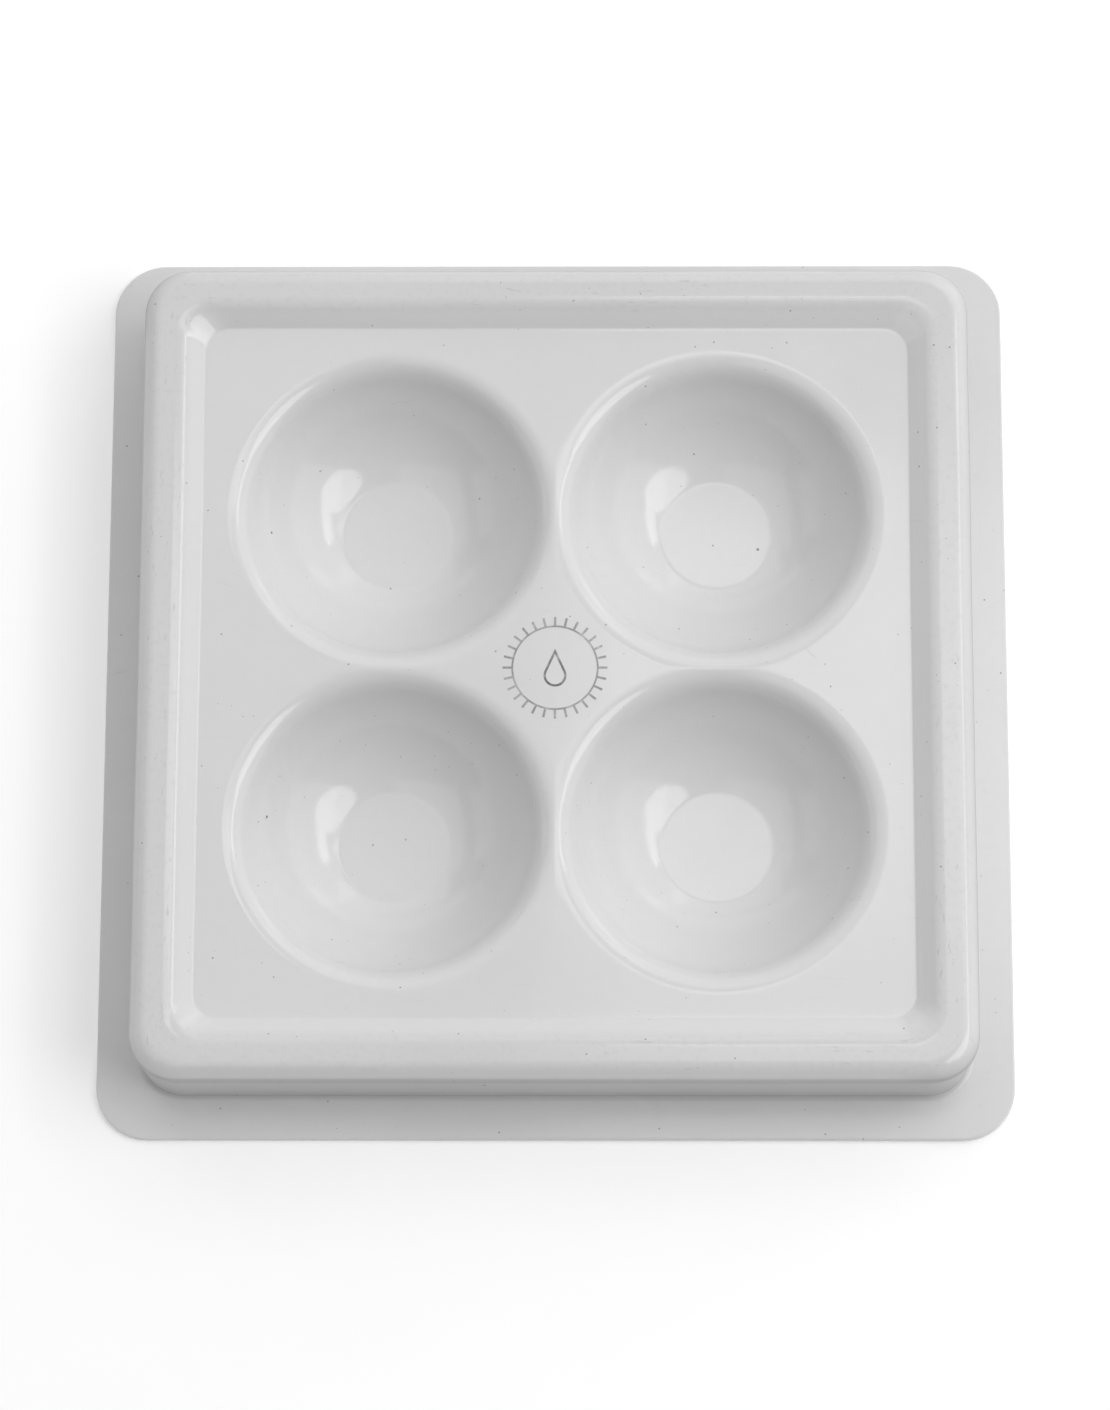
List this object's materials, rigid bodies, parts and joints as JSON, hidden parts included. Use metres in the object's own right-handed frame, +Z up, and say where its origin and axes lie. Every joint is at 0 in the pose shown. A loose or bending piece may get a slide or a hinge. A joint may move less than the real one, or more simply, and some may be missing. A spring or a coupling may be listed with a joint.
{
  "type": "mixing palette",
  "caption": "Shallow square tray of white thermoformed plastic with a flat outer flange, a rounded bead rim and round, flat-bottomed mixing wells set in a level floor.",
  "frame": {"origin": "middle of the square footprint, on the plane of the flange's underside that the palette rests on", "axes": "+Z up out of the wells, +X and +Y along the sides of the square"},
  "size_m": [0.2, 0.2, 0.0275],
  "materials": {
    "palette_plastic": "smooth glossy white sheet, lightly scuffed on the bead and dusted with fine specks",
    "printed_ink": "thin dull grey pad print, slightly worn"
  },
  "bodies": {
    "root": {"tray_sheet": "palette_plastic", "printed_tick_ring": "printed_ink", "printed_drop": "printed_ink"}
  },
  "joints": []
}
